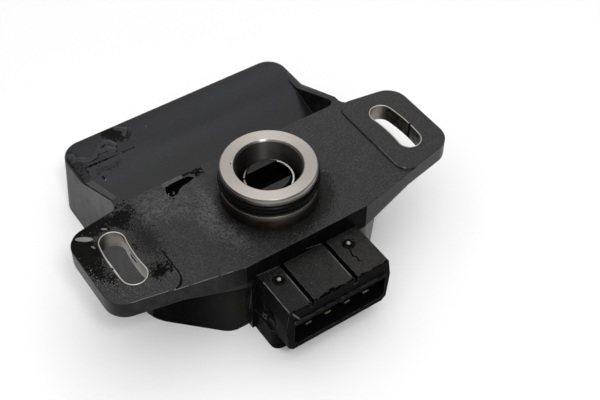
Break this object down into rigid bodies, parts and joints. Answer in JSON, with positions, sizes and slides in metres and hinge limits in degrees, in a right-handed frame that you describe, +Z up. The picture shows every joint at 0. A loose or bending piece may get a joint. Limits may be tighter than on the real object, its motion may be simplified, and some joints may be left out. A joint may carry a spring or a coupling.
{
  "type": "throttle position sensor",
  "caption": "Throttle position sensor with a slotted mounting flange, steel collar with sealing ring, slotted drive rotor, flat-blade plug socket and a rectangular rear lobe.",
  "frame": {"origin": "on the rotor axis, at the level of the two ear pads", "axes": "+Z up along the collar, +X to the right ear, +Y to the rectangular lobe, -Y to the plug socket"},
  "size_m": [0.0864, 0.0719, 0.0314],
  "materials": {
    "housing_plastic": "fine-grained moulded plastic, oily in places",
    "collar_steel": "turned, bright face",
    "seal_rubber": "oiled",
    "bush_steel": "rolled strip, bright rim",
    "rotor_plastic": "moulded, matte",
    "spring_steel": "bright spring strip",
    "arm_steel": "stamped sheet",
    "brush_copper": "springy copper alloy",
    "track_ceramic": "fired ceramic plate",
    "terminal_metal": "dull tinned brass",
    "cover_plastic": "moulded plastic"
  },
  "bodies": {
    "sensor_body": {"housing": "housing_plastic", "bearing_collar": "collar_steel", "o_ring": "seal_rubber", "shaft_seal": "seal_rubber", "slot_bush_left": "bush_steel", "slot_bush_right": "bush_steel", "thrust_washer": "spring_steel", "track_plate": "track_ceramic", "terminal_1": "terminal_metal", "terminal_2": "terminal_metal", "terminal_3": "terminal_metal", "terminal_4": "terminal_metal", "back_cover": "cover_plastic", "cover_seal": "seal_rubber", "spring_washer": "spring_steel"},
    "rotor_body": {"rotor": "rotor_plastic", "drive_clip": "spring_steel", "wiper_arm": "arm_steel", "push_nut": "spring_steel", "wiper_brush": "brush_copper"}
  },
  "joints": [
    {"name": "rotor_turn", "type": "hinge", "parent": "sensor_body", "child": "rotor_body", "pos_m": [0, 0, 0], "axis": [0, 0, 1], "range_deg": [0, 95]}
  ]
}
